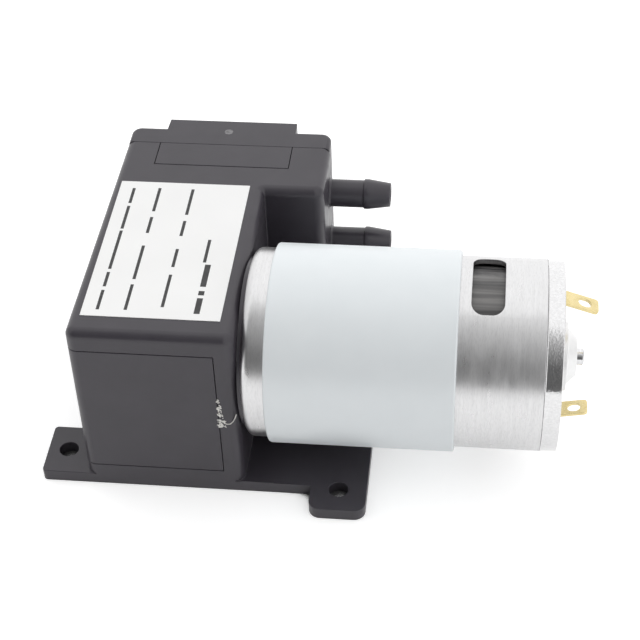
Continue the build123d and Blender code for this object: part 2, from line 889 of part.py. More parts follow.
def end_bell():
    """The rear cover with its stepped cup for the bush and slots for the terminals."""
    bell = spun_x(
        [
            (bell_front, 0),
            (bell_front, can_bore_r),
            (bell_back, can_bore_r),
            (bell_back, bell_foot_r),
            (motor_back + bell_foot, bell_foot_r),
            (motor_back + bell_foot + bell_slope, bell_cup_r),
            (cup_back - bell_bevel, bell_mouth_r + bell_bevel),
            (cup_back, bell_mouth_r),
            (cup_back, 0),
        ]
    )
    bell -= rod_x(bush_r, bell_front, bell_front + bush_length)
    bell -= rod_x(shaft_r + shaft_hole_gap, bell_front, cup_back)
    for up in (-1, 1):
        slot_z = axis_height + up * terminal_radius
        half = blade_width / 2 + 2 * blade_gap
        tall = blade_thick / 2 + 4 * blade_gap
        bell -= block(bell_front, bell_back, -half, half, slot_z - tall, slot_z + tall)
        low, high = axis_height + bell_vent_low, axis_height + bell_vent_high
        vent = block(bell_front, bell_back, -bell_vent_half, bell_vent_half, low, high)
        bell -= on_axis(vent, up * 90)
    return bell


def bush(x0):
    """A sintered bearing bush for the shaft."""
    x1 = x0 + bush_length
    return rod_x(bush_r, x0, x1) - rod_x(shaft_r + running_gap, x0, x1)


def front_bush():
    return bush(front_bush_start)


def rear_bush():
    return bush(bell_front)


def brush_plate():
    """The moulded insulator inside the end bell: a disc that carries the terminals, and a ribbed
    shroud that lines the can round the brushes."""
    x0, x1 = brush_plate_start, brush_plate_start + brush_plate_thick
    body = rod_x(can_bore_r - fit_gap, x0, x1) - rod_x(brush_plate_bore_r, x0, x1)
    start, r = commutator_start - shroud_lead, can_bore_r - shroud_gap
    body += rod_x(r, start, x0) - rod_x(r - shroud_wall, start, x0)
    for up in (-1, 1):
        z = axis_height + up * terminal_radius
        half, tall = blade_width / 2 + blade_gap, blade_thick / 2 + blade_gap
        lip = 2 * blade_gap
        body += block(x1, bell_back, -half - lip, half + lip, z - tall - lip, z + tall + lip)
        body -= block(x0, bell_back, -half, half, z - tall, z + tall)
    low, high = axis_height + bell_vent_low - 1, axis_height + bell_vent_high + 1
    for side in (-1, 1):
        body -= on_axis(block(x0, x1, -shroud_vent, shroud_vent, low, high), side * 90)
    return body


def terminal(up, bend):
    """A brass blade: bent outside the motor, folded inside it down to the brush."""
    z = terminal_radius
    arm_z = commutator_r + brush_gap + brush_height + blade_thick / 2
    arm_x = brush_plate_start - blade_thick
    tip = motor_back + blade_length
    drop = (tip - motor_back) * math.tan(math.radians(bend))
    path = Polyline(
        (brush_start, arm_z),
        (arm_x, arm_z),
        (arm_x, z),
        (motor_back, z),
        (tip, z - drop),
    )
    strip = extrude(Plane.XZ * trace(path, blade_thick), blade_width / 2, both=True)
    along = blade_hole
    spot = (motor_back + along, 0, z - along * math.tan(math.radians(bend)))
    hole = SlotCenterToCenter(blade_hole_run, 2 * blade_hole_r)
    strip -= Pos(*spot) * Rot(0, bend, 0) * extrude(hole, 2 * blade_thick, both=True)
    tip_edges = [e for e in strip.edges() if e.center().X > tip - 1 and abs(e.center().Y) > 1
                 and e.length < 2 * blade_thick]
    strip = fillet(tip_edges, blade_round)
    return Pos(0, 0, axis_height) * (Rot(0 if up > 0 else 180, 0, 0) * strip)


def brush(up):
    z0 = commutator_r + brush_gap
    half = brush_width / 2
    body = block(brush_start, brush_start + brush_length, -half, half, z0, z0 + brush_height)
    return Pos(0, 0, axis_height) * (Rot(0 if up > 0 else 180, 0, 0) * body)


def motor_screws():
    screws = []
    for y, z in motor_screw_places():
        shank = rod_x(motor_screw_r - shaft_gap, -motor_wall, motor_screw_length - motor_wall, y, z)
        head = rod_x(motor_screw_head_r, -motor_wall - motor_screw_head, -motor_wall, y, z)
        head = chamfer(head.edges().sort_by(Axis.X)[0], head_bevel)
        for turn in (0, 90):
            cut = Rot(turn, 0, 0) * Box(motor_screw_head, recess_span, recess_width)
            head -= Pos(-motor_wall - motor_screw_head, y, z) * cut
        screws.append(shank + head)
    return solids_of(*screws)


def spec_label():
    x0, y0 = -case_width + label_margin, -case_front + label_inset
    low, high = case_height, case_height + label_thick
    return block(x0, -label_right, y0, y0 + label_length, low, high)


PARTS = {
    "main_housing": main_housing,
    "crankcase_cover": crankcase_cover,
    "chamber_plate": chamber_plate,
    "inlet_flap": inlet_flap,
    "outlet_flap": outlet_flap,
    "manifold_block": manifold_block,
    "cap_gasket": cap_gasket,
    "head_cap": head_cap,
    "cap_screws": cap_screws,
    "diaphragm": diaphragm,
    "diaphragm_retainer": diaphragm_retainer,
    "retainer_screw": retainer_screw,
    "connecting_rod": connecting_rod,
    "rod_bearing_inner": rod_bearing_inner,
    "rod_bearing_outer": rod_bearing_outer,
    "rod_bearing_balls": rod_bearing_balls,
    "rod_bearing_cage": rod_bearing_cage,
    "eccentric": eccentric,
    "eccentric_set_screw": eccentric_set_screw,
    "motor_shaft": motor_shaft,
    "armature_core": armature_core,
    "armature_windings": armature_windings,
    "commutator": commutator,
    "shaft_spacers": shaft_spacers,
    "motor_can": motor_can,
    "flux_ring": flux_ring,
    "front_magnet": lambda: magnet(-1),
    "rear_magnet": lambda: magnet(1),
    "end_bell": end_bell,
    "front_bush": front_bush,
    "rear_bush": rear_bush,
    "brush_plate": brush_plate,
    "upper_terminal": lambda: terminal(1, upper_bend),
    "lower_terminal": lambda: terminal(-1, lower_bend),
    "upper_brush": lambda: brush(1),
    "lower_brush": lambda: brush(-1),
    "motor_screws": motor_screws,
    "spec_label": spec_label,
}


def main():
    os.makedirs("parts", exist_ok=True)
    for name, make in PARTS.items():
        export_step(make(), f"parts/{name}.step")


main()
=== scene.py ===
"""Shown pieces, finishes and stage of a small diaphragm vacuum pump, laid out as an add-on.

Places and sizes are millimetres in the row frame, and MM turns them into metres.
"""

import math
import random

import bmesh
import bpy
from mathutils import Matrix, Vector


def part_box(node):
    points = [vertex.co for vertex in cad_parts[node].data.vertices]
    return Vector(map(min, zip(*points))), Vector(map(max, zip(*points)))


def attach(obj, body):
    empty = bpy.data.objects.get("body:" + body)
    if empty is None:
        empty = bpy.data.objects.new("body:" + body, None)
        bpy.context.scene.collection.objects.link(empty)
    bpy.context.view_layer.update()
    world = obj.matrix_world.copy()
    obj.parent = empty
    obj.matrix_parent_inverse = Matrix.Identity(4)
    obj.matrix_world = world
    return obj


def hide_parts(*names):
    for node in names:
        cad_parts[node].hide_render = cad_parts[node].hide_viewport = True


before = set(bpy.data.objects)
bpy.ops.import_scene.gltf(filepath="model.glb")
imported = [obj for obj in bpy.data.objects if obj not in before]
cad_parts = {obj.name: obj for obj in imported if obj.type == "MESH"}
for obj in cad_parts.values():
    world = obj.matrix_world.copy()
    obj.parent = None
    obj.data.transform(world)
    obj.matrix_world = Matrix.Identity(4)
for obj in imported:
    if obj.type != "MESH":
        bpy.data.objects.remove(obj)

bl_info = {
    "name": "Diaphragm Vacuum Pump",
    "version": (1, 0, 0),
    "blender": (4, 5, 0),
    "location": "View3D > Sidebar > Vacuum Pump",
    "description": "Builds the shown pieces, finishes and stage of a small vacuum pump",
    "category": "Object",
}

MM = 0.001
AXIS = 24.55  # motor axis above the plate's underside
RIM = 3.05  # length of the can's rear rim

GATE = (-9.7, 46.9, 39.2)  # middle of the gate mark on the head cap's top
GATE_RISE = 0.04  # thickness of the gate mark

# The label's rows: distance from its left edge, then each rule's start and end behind its back.
LABEL_ROWS = (
    (2.9, ((2.2, 7.0), (7.9, 15.0), (15.6, 27.0), (27.9, 32.0), (33.0, 38.4))),
    (8.0, ((1.9, 9.3), (11.1, 16.0), (19.8, 29.6), (31.1, 38.2))),
    (14.6, ((1.9, 10.0), (11.9, 16.5), (20.4, 25.7), (27.9, 37.0))),
    (20.3, ((17.3, 24.0),)),
)
HEADING_ROW = (21.1, ((24.6, 30.9), (32.1, 33.3), (34.1, 38.4)))
INK = 0.012  # thickness of the printed rules

CRUMBS = 60
CRUMBS_LOW, CRUMBS_TALL = 17.2, 7.2  # where the crumbs begin above the ground, and their reach
CRUMBS_LEFT = -3.75
STRAND = ((-2.9, 18.2), (-2.3, 17.95), (-1.7, 18.1), (-1.2, 18.7), (-0.8, 19.5), (-0.45, 20.6))

# The stage, in metres and degrees. A heading is an azimuth right of the front and an elevation.
FLOOR_RADIUS = 1.6
FLOOR_DROP = 0.00005
LAMP_SIZE = 0.04
LAMP_HEADING = (27.0, 48.0)
LAMP_AWAY = 0.9
CAMERA_PLACE = (0.04338, -0.22606, 0.23443)
CAMERA_HEADING = (7.477, 41.786)
CAMERA_ROLL = -2.344
CAMERA_LENS = 92.29

made = {}  # finishes by name, so that each is made once


# ---------------------------------------------------------------- finishes
class Finish:
    """A procedural finish in object coordinates, with its noise fed through one mapping."""

    def __init__(self, name, colour, roughness, metallic=0.0, centre=(0.0, 0.0, AXIS)):
        self.material = bpy.data.materials.new(name)
        self.material.use_nodes = True
        self.tree = self.material.node_tree
        self.bsdf = self.tree.nodes["Principled BSDF"]
        self.set("Base Color", (*colour, 1.0))
        self.set("Roughness", roughness)
        self.set("Metallic", metallic)
        self.coordinates = self.tree.nodes.new("ShaderNodeTexCoord")
        self.centre = centre
        self.bumps = []

    def set(self, socket, value):
        """A constant on the shader's own socket."""
        self.bsdf.inputs[socket].default_value = value

    def place(self, stretch=(1.0, 1.0, 1.0)):
        """Object coordinates in millimetres from the finish's centre."""
        node = self.tree.nodes.new("ShaderNodeMapping")
        scale = [s / MM for s in stretch]
        node.inputs["Scale"].default_value = scale
        node.inputs["Location"].default_value = [-c * s for c, s in zip(self.centre, stretch)]
        self.tree.links.new(self.coordinates.outputs["Object"], node.inputs["Vector"])
        return node.outputs["Vector"]

    def noise(self, size, stretch=(1.0, 1.0, 1.0), detail=2.0, rough=0.5):
        """A noise between 0 and 1 whose marks are about size millimetres across."""
        node = self.tree.nodes.new("ShaderNodeTexNoise")
        node.inputs["Scale"].default_value = 1.0 / size
        node.inputs["Detail"].default_value = detail
        node.inputs["Roughness"].default_value = rough
        self.tree.links.new(self.place(stretch), node.inputs["Vector"])
        return node.outputs["Fac"]

    def spread(self, value, low, high, start=0.3, end=0.7):
        """A value taken from one range to another."""
        node = self.tree.nodes.new("ShaderNodeMapRange")
        node.clamp = True
        places = {"From Min": start, "From Max": end, "To Min": low, "To Max": high}
        for name, number in places.items():
            node.inputs[name].default_value = number
        self.tree.links.new(value, node.inputs["Value"])
        return node.outputs["Result"]

    def beyond(self, x, soft=0.05):
        """0 ahead of a place on the motor axis and 1 beyond it, in millimetres."""
        parts = self.tree.nodes.new("ShaderNodeSeparateXYZ")
        self.tree.links.new(self.place(), parts.inputs[0])
        return self.spread(parts.outputs["X"], 0.0, 1.0, x - soft, x + soft)

    def between(self, factor, first, second, colour=False):
        """A mix of two sockets or constants."""
        node = self.tree.nodes.new("ShaderNodeMix")
        node.data_type = "RGBA" if colour else "FLOAT"
        self.tree.links.new(factor, node.inputs["Factor"])
        for name, value in (("A", first), ("B", second)):
            if isinstance(value, bpy.types.NodeSocket):
                self.tree.links.new(value, node.inputs[name])
            else:
                node.inputs[name].default_value = value
        return node.outputs["Result"]

    def vary(self, socket, low, high, size, **more):
        """Noise on one of the shader's number sockets."""
        value = self.spread(self.noise(size, **more), low, high)
        self.tree.links.new(value, self.bsdf.inputs[socket])
        return self

    def tint(self, first, second, size, start=0.3, end=0.7, **more):
        """Noise between two colours."""
        node = self.tree.nodes.new("ShaderNodeMix")
        node.data_type = "RGBA"
        node.inputs["A"].default_value = (*first, 1.0)
        node.inputs["B"].default_value = (*second, 1.0)
        factor = self.spread(self.noise(size, **more), 0.0, 1.0, start, end)
        self.tree.links.new(factor, node.inputs["Factor"])
        self.tree.links.new(node.outputs["Result"], self.bsdf.inputs["Base Color"])
        return self

    def product(self, first, second):
        """Two values multiplied."""
        node = self.tree.nodes.new("ShaderNodeMath")
        node.operation = "MULTIPLY"
        for socket, value in zip(node.inputs, (first, second)):
            if isinstance(value, bpy.types.NodeSocket):
                self.tree.links.new(value, socket)
            else:
                socket.default_value = value
        return node.outputs[0]

    def cells(self, size):
        """A value between 0 and 1, the same all over each crystal-like cell."""
        node = self.tree.nodes.new("ShaderNodeTexVoronoi")
        node.inputs["Scale"].default_value = 1.0 / size
        self.tree.links.new(self.place(), node.inputs["Vector"])
        grey = self.tree.nodes.new("ShaderNodeSeparateColor")
        self.tree.links.new(node.outputs["Color"], grey.inputs[0])
        return grey.outputs["Red"]

    def grain(self, height, size, **more):
        """Fine relief, height and size in millimetres."""
        return self.relief(height, self.noise(size, **more))

    def relief(self, height, value):
        """A value between 0 and 1 shown as relief, its height in millimetres."""
        node = self.tree.nodes.new("ShaderNodeBump")
        node.inputs["Distance"].default_value = height * MM
        node.inputs["Strength"].default_value = 1.0
        self.tree.links.new(value, node.inputs["Height"])
        if self.bumps:
            self.tree.links.new(self.bumps[-1].outputs["Normal"], node.inputs["Normal"])
        self.tree.links.new(node.outputs["Normal"], self.bsdf.inputs["Normal"])
        self.bumps.append(node)
        return self


AROUND_X = (1.0, 0.05, 0.05)  # marks drawn out round the motor axis
ALONG_X = (0.04, 1.0, 1.0)  # marks drawn out along it


def black_plastic():
    f = Finish("black_plastic", (0.045, 0.0405, 0.05), 0.34)
    f.tint((0.042, 0.0378, 0.0468), (0.048, 0.0432, 0.0532), 7.0, detail=4.0, rough=0.6)
    f.vary("Roughness", 0.3, 0.4, 4.0, detail=3.0)
    return f.grain(0.004, 0.35, detail=2.0)


# Lighter grey for the gate mark: a painted highlight standing in for the lamp's glint on the raised
# mark.
def glint_painted_plastic():
    f = Finish("glint_painted_plastic", (0.2, 0.195, 0.205), 0.5)
    f.tint((0.13, 0.126, 0.134), (0.26, 0.255, 0.265), 0.4)
    return f.vary("Roughness", 0.45, 0.6, 0.3)


def inner_plastic():
    f = Finish("inner_plastic", (0.05, 0.05, 0.052), 0.5)
    f.tint((0.045, 0.045, 0.047), (0.06, 0.06, 0.062), 4.0)
    return f.vary("Roughness", 0.45, 0.6, 2.0)


def lining_plastic():
    """Moulded insulator with soft ribs along the motor axis, and painted highlights and shade in
    light and dark bands along it.
    """
    f = Finish("lining_plastic", (0.08, 0.078, 0.08), 0.4)
    # Painted highlights and shade: the colour runs in bands from near black to mid grey along the
    # motor axis.
    f.tint((0.035, 0.034, 0.036), (0.2, 0.195, 0.19), 1.4, start=0.4, end=0.75, stretch=ALONG_X)
    f.vary("Roughness", 0.3, 0.5, 1.0)
    return f.grain(0.25, 1.1, stretch=ALONG_X)


def rod_plastic():
    f = Finish("rod_plastic", (0.62, 0.6, 0.54), 0.5)
    f.tint((0.6, 0.58, 0.52), (0.66, 0.64, 0.58), 3.0)
    return f.vary("Roughness", 0.4, 0.55, 1.5)


def label_film():
    f = Finish("label_film", (0.9, 0.9, 0.895), 0.45)
    f.tint((0.89, 0.89, 0.885), (0.92, 0.92, 0.915), 12.0)
    f.vary("Roughness", 0.4, 0.5, 6.0)
    return f.grain(0.004, 3.0)


def label_ink():
    f = Finish("label_ink", (0.03, 0.03, 0.031), 0.5)
    f.tint((0.026, 0.026, 0.027), (0.04, 0.04, 0.041), 1.2)
    return f.vary("Roughness", 0.45, 0.55, 1.0)


def rubber():
    f = Finish("rubber", (0.02, 0.02, 0.02), 0.75)
    f.tint((0.016, 0.016, 0.016), (0.026, 0.026, 0.026), 2.0)
    return f.vary("Roughness", 0.7, 0.85, 1.0)


def can_steel():
    """Drawn steel: faint marks round the can, and a polished, spangled rim at its rear."""
    f = Finish("can_steel", (0.68, 0.68, 0.684), 0.25, metallic=1.0)
    rim = f.beyond(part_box("motor_can")[1].x / MM - RIM)
    marks = f.spread(f.noise(0.5, stretch=AROUND_X, detail=4.0, rough=0.6), 0.66, 0.72)
    lines = f.spread(f.noise(0.16, stretch=(1.0, 0.16, 0.16), detail=1.0), 0.93, 1.0, 0.36, 0.5)
    value = f.between(rim, f.product(marks, lines), f.spread(f.cells(0.32), 0.68, 0.75, 0.0, 1.0))
    grey = f.tree.nodes.new("ShaderNodeCombineColor")
    for name, share in (("Red", 1.0), ("Green", 0.997), ("Blue", 1.004)):
        f.tree.links.new(f.product(value, share), grey.inputs[name])
    f.tree.links.new(grey.outputs[0], f.bsdf.inputs["Base Color"])
    rough = f.spread(f.noise(1.6, stretch=(1.0, 0.3, 0.3), detail=4.0), 0.27, 0.34)
    f.tree.links.new(f.between(rim, rough, 0.1), f.bsdf.inputs["Roughness"])
    f.relief(0.008, f.product(rim, f.noise(0.4, detail=1.0)))
    return f.grain(0.003, 0.25, stretch=(1.0, 0.3, 0.3), detail=3.0)


def ring_steel():
    f = Finish("ring_steel", (0.8, 0.84, 0.86), 0.4, metallic=0.1)
    f.tint((0.79, 0.83, 0.85), (0.81, 0.848, 0.867), 7.0, detail=3.0)
    f.vary("Roughness", 0.36, 0.44, 2.0, detail=4.0)
    return f.grain(0.0012, 0.5, detail=2.0)


def bell_steel():
    f = Finish("bell_steel", (0.86, 0.86, 0.86), 0.3, metallic=0.6)
    f.tint((0.83, 0.83, 0.83), (0.88, 0.88, 0.88), 1.8, detail=4.0)
    f.vary("Roughness", 0.32, 0.42, 1.2, detail=4.0)
    return f.grain(0.003, 0.4, detail=2.0)


def shaft_steel():
    f = Finish("shaft_steel", (0.7, 0.7, 0.71), 0.16, metallic=1.0)
    f.tint((0.66, 0.66, 0.67), (0.75, 0.75, 0.76), 0.6, stretch=AROUND_X)
    return f.vary("Roughness", 0.1, 0.22, 0.8, stretch=AROUND_X)


def plain_steel(name, colour, low, high):
    f = Finish(name, colour, low, metallic=1.0)
    f.tint([c * 0.92 for c in colour], [min(1.0, c * 1.06) for c in colour], 1.5, detail=3.0)
    return f.vary("Roughness", low, high, 1.0, detail=3.0)


def brass():
    f = Finish("brass", (0.76, 0.63, 0.33), 0.25, metallic=1.0)
    f.tint((0.7, 0.58, 0.29), (0.8, 0.68, 0.38), 1.5, detail=3.0)
    f.vary("Roughness", 0.18, 0.34, 0.9, detail=3.0)
    return f.grain(0.002, 0.3)


def glue():
    f = Finish("glue_residue", (0.7, 0.68, 0.64), 0.35)
    f.tint((0.62, 0.6, 0.56), (0.78, 0.77, 0.74), 0.6)
    f.vary("Roughness", 0.25, 0.45, 0.5)
    return f


def copper():
    f = Finish("copper", (0.72, 0.3, 0.14), 0.3, metallic=1.0)
    f.tint((0.6, 0.22, 0.09), (0.78, 0.34, 0.17), 0.5, detail=3.0)
    f.vary("Roughness", 0.22, 0.4, 0.4)
    return f.grain(0.02, 0.3)


FINISHES = {
    "housing_plastic": black_plastic,
    "glint_painted_plastic": glint_painted_plastic,
    "inner_plastic": inner_plastic,
    "lining_plastic": lining_plastic,
    "rod_plastic": rod_plastic,
    "label_film": label_film,
    "label_ink": label_ink,
    "rubber": rubber,
    "can_steel": can_steel,
    "ring_steel": ring_steel,
    "bell_steel": bell_steel,
    "shaft_steel": shaft_steel,
    "screw_steel": lambda: plain_steel("screw_steel", (0.5, 0.5, 0.5), 0.25, 0.4),
    "bearing_steel": lambda: plain_steel("bearing_steel", (0.66, 0.66, 0.67), 0.12, 0.22),
    "eccentric_steel": lambda: plain_steel("eccentric_steel", (0.56, 0.55, 0.53), 0.35, 0.5),
    "core_steel": lambda: plain_steel("core_steel", (0.4, 0.4, 0.41), 0.4, 0.55),
    "ferrite": lambda: plain_steel("ferrite", (0.09, 0.09, 0.095), 0.5, 0.65),
    "bronze": lambda: plain_steel("bronze", (0.45, 0.3, 0.16), 0.35, 0.5),
    "aluminium": lambda: plain_steel("aluminium", (0.8, 0.8, 0.81), 0.28, 0.4),
    "carbon": lambda: plain_steel("carbon", (0.04, 0.04, 0.042), 0.5, 0.65),
    "copper": copper,
    "brass": brass,
    "glue": glue,
}


def finish(name):
    """The finish of that name, made at first use."""
    if name not in made:
        made[name] = FINISHES[name]().material
    return made[name]


# ---------------------------------------------------------------- meshes
def new_piece(name, bm, finish_name, body="housing", replaces=()):
    """A shown piece from a bmesh in metres, riding on a CAD body."""
    bmesh.ops.recalc_face_normals(bm, faces=bm.faces)
    mesh = bpy.data.meshes.new(name)
    bm.to_mesh(mesh)
    bm.free()
    if not mesh.polygons:
        raise RuntimeError(f"{name} has no faces")
    mesh.materials.clear()
    mesh.materials.append(finish(finish_name))
    for polygon in mesh.polygons:
        polygon.material_index = 0
    piece = bpy.data.objects.new(name, mesh)
    bpy.context.scene.collection.objects.link(piece)
    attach(piece, body)
    if replaces:
        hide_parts(*replaces)
    return piece


def smooth(piece, angle=30.0):
    """Smooth shading whose flat faces stay flat."""
    piece.data.shade_smooth()
    piece.data.set_sharp_from_angle(angle=math.radians(angle))
    weighted = piece.modifiers.new("weighted", "WEIGHTED_NORMAL")
    weighted.keep_sharp = True
    weighted.weight = 80
    return piece


def merged_copy(node):
    """A CAD node's mesh with its doubled vertices merged and its flat faces joined."""
    bm = bmesh.new()
    bm.from_mesh(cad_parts[node].data)
    for layer in list(bm.loops.layers.float_vector) + list(bm.loops.layers.uv):
        if layer.name == "custom_normal":
            bm.loops.layers.float_vector.remove(layer)
    bmesh.ops.remove_doubles(bm, verts=bm.verts, dist=2e-6)
    bmesh.ops.dissolve_degenerate(bm, dist=1e-6, edges=bm.edges)
    bmesh.ops.dissolve_limit(
        bm, angle_limit=math.radians(0.4), use_dissolve_boundaries=False,
        verts=bm.verts, edges=bm.edges,
    )
    return bm


def softened(node, name, width, finish_name, segments=2, angle=28.0):
    """A copy of a CAD node, its sharp edges eased by width metres, within the node's own box."""
    bm = merged_copy(node)
    sharp = [
        e for e in bm.edges
        if e.is_manifold and abs(e.calc_face_angle_signed(0.0)) > math.radians(angle)
    ]
    bmesh.ops.bevel(
        bm, geom=sharp, offset=width, offset_type="OFFSET", segments=segments, profile=0.5,
        affect="EDGES", clamp_overlap=False, material=-1, loop_slide=False,
    )
    bmesh.ops.remove_doubles(bm, verts=bm.verts, dist=1e-6)
    low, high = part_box(node)
    for v in bm.verts:
        v.co = [min(max(c, a), b) for c, a, b in zip(v.co, low, high)]
    piece = new_piece(name, bm, finish_name, replaces=(node,))
    return smooth(piece, 40.0)


def add_box(bm, low, high):
    """A box between two corners in millimetres."""
    size = [(b - a) * MM for a, b in zip(low, high)]
    centre = [(a + b) / 2 * MM for a, b in zip(low, high)]
    matrix = Matrix.Translation(centre) @ Matrix.Diagonal((*size, 1.0))
    return bmesh.ops.create_cube(bm, size=1.0, matrix=matrix)["verts"]


def add_strand(bm, line, wall, radius=0.07):
    """A thin strand along a line of (x, z) places on the front wall, in millimetres."""
    for a, b in zip(line, line[1:]):
        start, end = (Vector((x, wall, z)) * MM for x, z in (a, b))
        along = end - start
        turn = along.to_track_quat("Z", "Y").to_matrix().to_4x4()
        place = Matrix.Translation((start + end) / 2) @ turn
        bmesh.ops.create_cone(
            bm, cap_ends=True, segments=10, radius1=radius * MM, radius2=radius * MM,
            depth=along.length * 1.08, matrix=place,
        )


# ---------------------------------------------------------------- settings
class PumpShellSettings(bpy.types.PropertyGroup):
    """Edges of the moulded pieces."""

    edge: bpy.props.FloatProperty(
        name="Edge easing", description="Width of the easing on the moulded pieces' edges",
        default=0.00014, min=0.00002, max=0.0004, unit="LENGTH",
    )
    gate_radius: bpy.props.FloatProperty(
        name="Gate mark", description="Radius of the moulding's gate mark on the head",
        default=0.0009, min=0.0004, max=0.003, unit="LENGTH",
    )


class PumpLabelSettings(bpy.types.PropertyGroup):
    """Plain rules printed on the label."""

    heading: bpy.props.FloatProperty(
        name="Heading", description="Height of the heading's rules",
        default=0.0011, min=0.0003, max=0.004, unit="LENGTH",
    )
    row: bpy.props.FloatProperty(
        name="Row", description="Height of the smaller rules",
        default=0.0006, min=0.0002, max=0.003, unit="LENGTH",
    )


class PumpMotorSettings(bpy.types.PropertyGroup):
    """Edges of the motor's pressed pieces."""

    edge: bpy.props.FloatProperty(
        name="Edge easing", description="Width of the easing on the pressed pieces' edges",
        default=0.00018, min=0.00002, max=0.0004, unit="LENGTH",
    )
    blade_edge: bpy.props.FloatProperty(
        name="Blade easing", description="Width of the easing on the terminals' edges",
        default=0.00006, min=0.00001, max=0.0002, unit="LENGTH",
    )


class PumpStageSettings(bpy.types.PropertyGroup):
    """Light tent and floor."""

    tent: bpy.props.FloatProperty(
        name="Tent", description="Brightness of the tent behind and above", default=1.28, min=0.0,
        max=2.0,
    )
    sides: bpy.props.FloatProperty(
        name="Sides", description="Share by which the tent's two sides are dimmer", default=0.33,
        min=0.0, max=1.0,
    )
    opening: bpy.props.FloatProperty(
        name="Opening", description="Brightness of the tent's opening behind the camera",
        default=0.13, min=0.0, max=2.0,
    )
    left: bpy.props.FloatProperty(
        name="Opening's left", description="How far the opening reaches to the left of the front",
        default=math.radians(60.0), subtype="ANGLE",
    )
    right: bpy.props.FloatProperty(
        name="Opening's right", description="How far the opening reaches to the right of the front",
        default=math.radians(12.0), subtype="ANGLE",
    )
    lamp: bpy.props.FloatProperty(
        name="Lamp", description="Power of the round lamp in front and above, in watts",
        default=0.04, min=0.0, max=20.0,
    )


# ---------------------------------------------------------------- operators
class PUMP_OT_shells(bpy.types.Operator):
    """Housing, crankcase cover, manifold and head cap with eased edges"""

    bl_idname = "pump.shells"
    bl_label = "Moulded Shells"

    def execute(self, context):
        settings = context.scene.pump_shells
        for node in ("main_housing", "crankcase_cover", "manifold_block", "head_cap"):
            softened(node, f"{node}_shell", settings.edge, "housing_plastic")
        # The gate mark is a raised disc, and its lighter finish is a painted highlight.
        bm = bmesh.new()
        place = Matrix.Translation(Vector(GATE) * MM)
        bmesh.ops.create_cone(
            bm, cap_ends=True, segments=48, radius1=settings.gate_radius,
            radius2=settings.gate_radius * 0.96, depth=GATE_RISE * MM, matrix=place,
        )
        smooth(new_piece("gate_mark", bm, "glint_painted_plastic"))
        return {"FINISHED"}


class PUMP_OT_label(bpy.types.Operator):
    """Label film with plain printed rules"""

    bl_idname = "pump.label"
    bl_label = "Label"

    def execute(self, context):
        settings = context.scene.pump_label
        softened("spec_label", "label_film", 0.00004, "label_film")
        low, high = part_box("spec_label")
        top = high.z / MM
        bm = bmesh.new()
        back = high.y / MM
        heading_height, row_height = settings.heading / MM, settings.row / MM

        def rules(x, tall, places):
            """A row of rules, each from a start to an end behind the label's back edge."""
            for start, end in places:
                low_corner = (x - tall / 2, back - end, top)
                add_box(bm, low_corner, (x + tall / 2, back - start, top + INK))

        left = low.x / MM
        for across, places in LABEL_ROWS:
            rules(left + across, row_height, places)
        rules(left + HEADING_ROW[0], heading_height, HEADING_ROW[1])
        new_piece("label_rules", bm, "label_ink")
        return {"FINISHED"}


class PUMP_OT_glue(bpy.types.Operator):
    """Crumbs and a strand of glue left at the cover's edge"""

    bl_idname = "pump.glue"
    bl_label = "Glue Residue"

    def execute(self, context):
        rng = random.Random(7)
        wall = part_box("crankcase_cover")[0].y / MM
        bm = bmesh.new()
        for _ in range(CRUMBS):
            share = rng.random() ** 1.6
            x = CRUMBS_LEFT + rng.uniform(-0.2, 1.0) * (1.15 - share)
            z = CRUMBS_LOW + CRUMBS_TALL * share
            size = rng.uniform(0.05, 0.17)
            place = (
                Matrix.Translation(Vector((x, wall, z)) * MM)
                @ Matrix.Rotation(rng.uniform(0, math.pi), 4, "Y")
                @ Matrix.Diagonal((size * 2.6 * MM, 0.06 * MM, size * MM, 1.0))
            )
            bit = bmesh.ops.create_icosphere(bm, subdivisions=2, radius=1.0, matrix=place)
            for v in bit["verts"]:
                v.co += Vector((rng.uniform(-1, 1), 0, rng.uniform(-1, 1))) * 0.03 * MM
        add_strand(bm, STRAND, wall, 0.1)
        smooth(new_piece("glue_residue", bm, "glue"), 60.0)
        return {"FINISHED"}


class PUMP_OT_motor(bpy.types.Operator):
    """Motor can, flux ring and end bell with eased edges"""

    bl_idname = "pump.motor"
    bl_label = "Motor Shell"

    def execute(self, context):
        edge = context.scene.pump_motor.edge
        softened("motor_can", "motor_can_shell", edge, "can_steel")
        softened("flux_ring", "flux_ring_shell", 2.0 * edge, "ring_steel")
        softened("end_bell", "end_bell_shell", edge, "bell_steel")
        return {"FINISHED"}


class PUMP_OT_terminals(bpy.types.Operator):
    """The two blade terminals with eased edges"""

    bl_idname = "pump.terminals"
    bl_label = "Terminals"

    def execute(self, context):
        edge = context.scene.pump_motor.blade_edge
        for node in ("upper_terminal", "lower_terminal"):
            softened(node, f"{node}_blade", edge, "brass")
        return {"FINISHED"}


class PUMP_OT_works(bpy.types.Operator):
    """Finishes of every CAD node, shown or standing behind a shell"""

    bl_idname = "pump.works"
    bl_label = "Inner Works"

    def execute(self, context):
        slots = {}
        for node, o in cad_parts.items():
            names = [m.name.split(".")[0] for m in o.data.materials if m]
            found = next((n for n in names if n in FINISHES), None)
            if found is None:
                raise RuntimeError(f"{node} has no finish among {names}")
            slots[node] = found
        for node, found in slots.items():
            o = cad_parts[node]
            o.data.materials.clear()
            lining = node == "brush_plate"
            o.data.materials.append(finish("lining_plastic" if lining else found))
        return {"FINISHED"}


class PUMP_OT_stage(bpy.types.Operator):
    """Floor, light tent, camera and colour settings"""

    bl_idname = "pump.stage"
    bl_label = "Stage"

    def execute(self, context):
        settings = context.scene.pump_stage
        floor()
        tent(settings)
        lamp(settings)
        camera()
        context.scene.view_settings.view_transform = "Standard"
        return {"FINISHED"}


